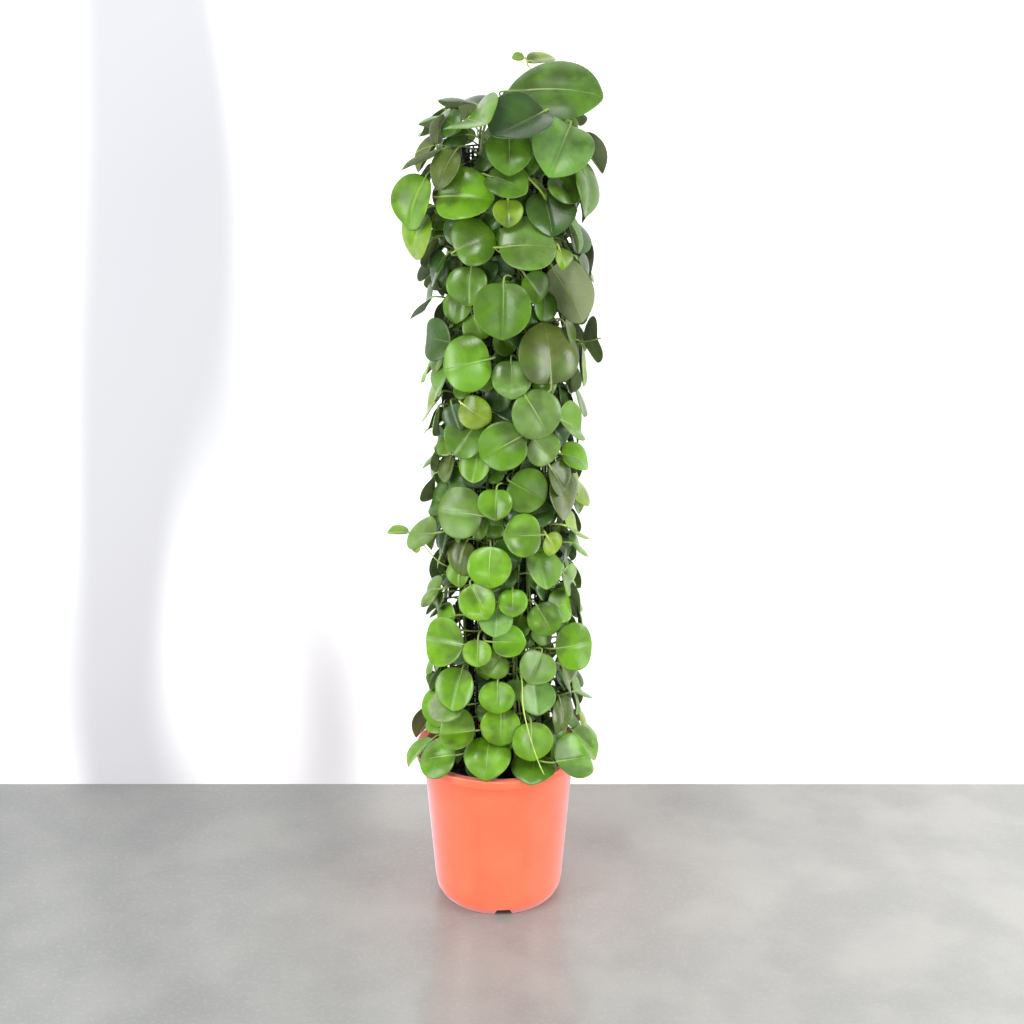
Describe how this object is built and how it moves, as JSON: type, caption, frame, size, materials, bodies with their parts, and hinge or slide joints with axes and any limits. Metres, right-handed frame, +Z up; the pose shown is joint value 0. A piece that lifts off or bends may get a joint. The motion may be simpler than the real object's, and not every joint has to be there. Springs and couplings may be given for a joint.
{
  "type": "potted cissus",
  "caption": "Climbing cissus with round fleshy leaves on a tall netting tube, growing in a terracotta-coloured nursery pot that stands on its foot.",
  "frame": {"origin": "on the floor, in the middle of the pot's foot", "axes": "+Z up along the column of leaves, -Y towards the front that the picture shows, +X to the right of that view"},
  "size_m": [0.2994, 0.2763, 1.1904],
  "materials": {
    "pot_plastic": "satin",
    "potting_soil": "matte",
    "black_netting": "matte",
    "cissus_green": "satin"
  },
  "bodies": {
    "root": {"pot": "pot_plastic", "soil": "potting_soil", "netting_tube": "black_netting", "vine_01": "cissus_green", "vine_02": "cissus_green", "vine_03": "cissus_green", "vine_04": "cissus_green", "vine_05": "cissus_green", "vine_06": "cissus_green", "vine_07": "cissus_green", "vine_08": "cissus_green", "vine_09": "cissus_green"}
  },
  "joints": []
}
